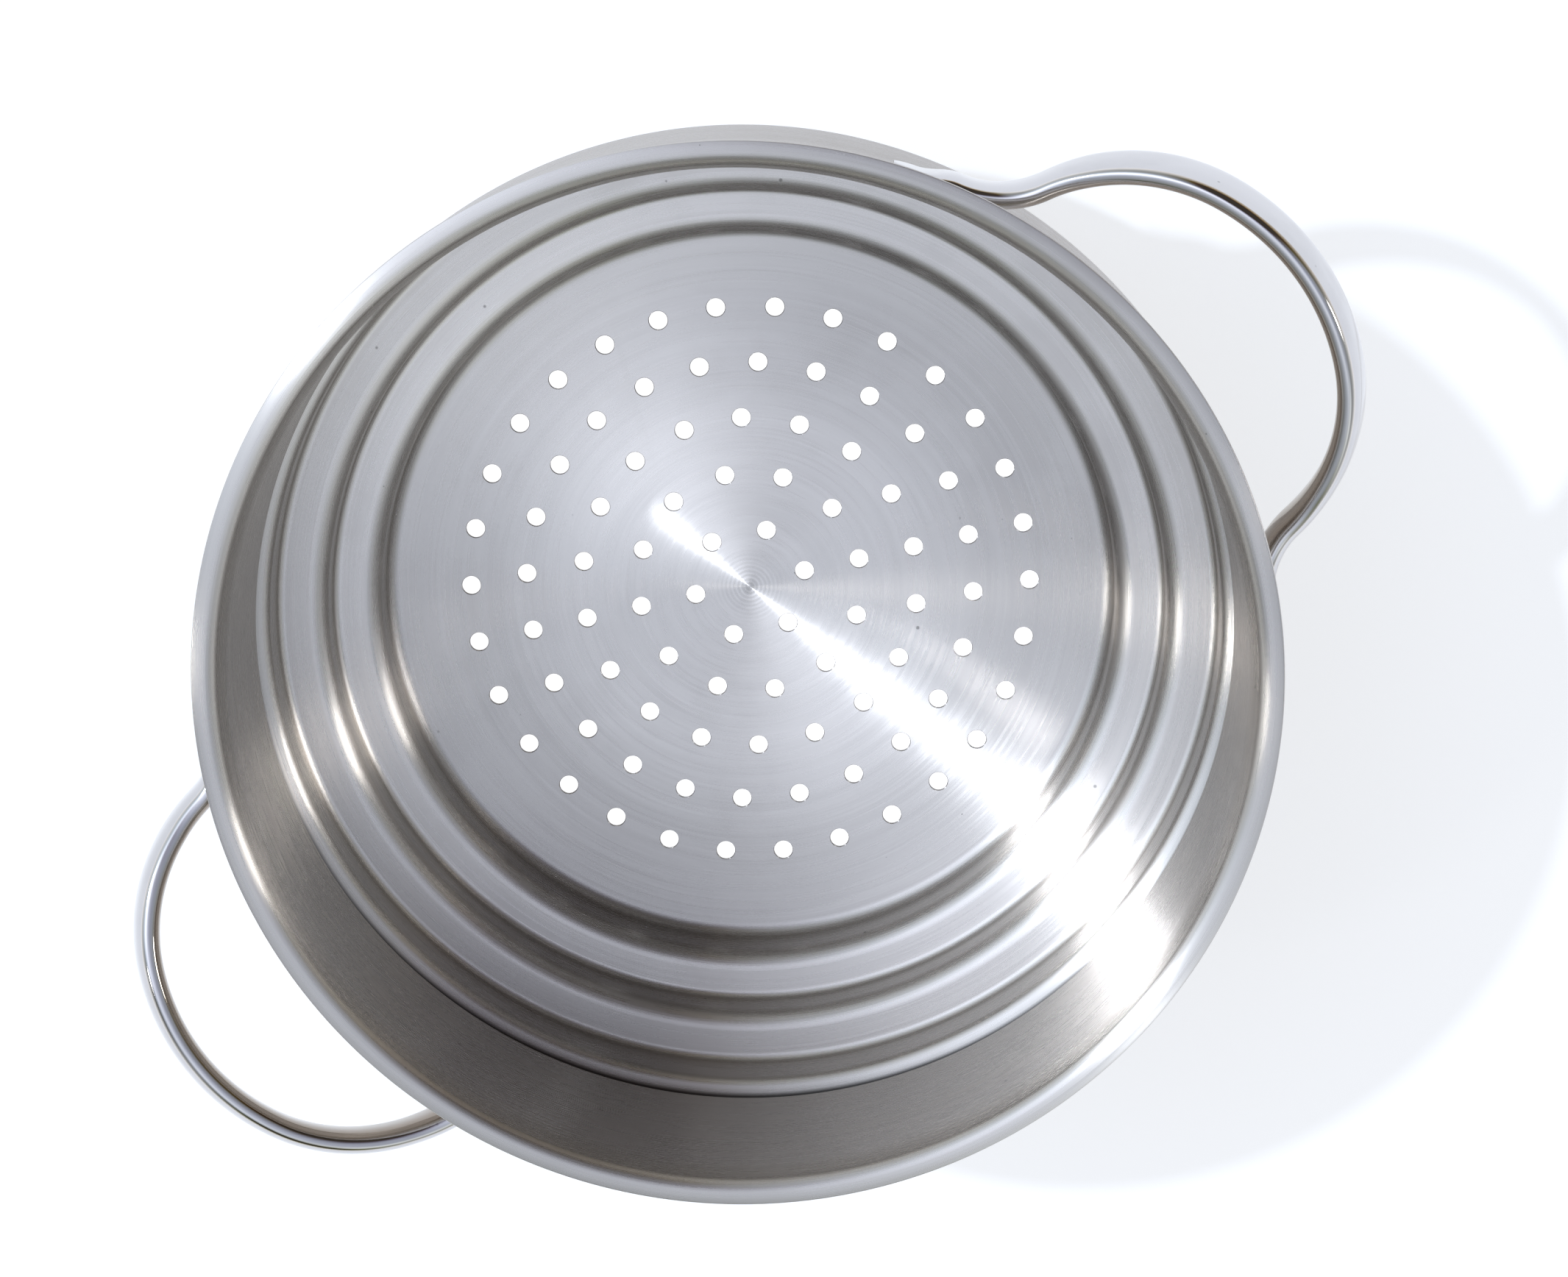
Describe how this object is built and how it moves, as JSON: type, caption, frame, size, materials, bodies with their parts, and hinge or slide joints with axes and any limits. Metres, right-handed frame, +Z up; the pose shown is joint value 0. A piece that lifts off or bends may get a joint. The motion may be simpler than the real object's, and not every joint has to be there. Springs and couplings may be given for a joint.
{
  "type": "pasta pot insert",
  "caption": "Stepped steel insert with a perforated base, ledges and a bead that seat in different pots, a flared mouth and loop handles at each side.",
  "frame": {"origin": "centre of the base's underside, which is the lowest face", "axes": "+Z up out of the open mouth, X through the middles of the handle loops"},
  "size_m": [0.28, 0.2128, 0.0932],
  "materials": {
    "satin_steel": "satin, brushed in circles on a lathe",
    "polished_steel": "mirror polished"
  },
  "bodies": {
    "root": {"vessel": "satin_steel", "handle_right": "polished_steel", "handle_left": "polished_steel"}
  },
  "joints": []
}
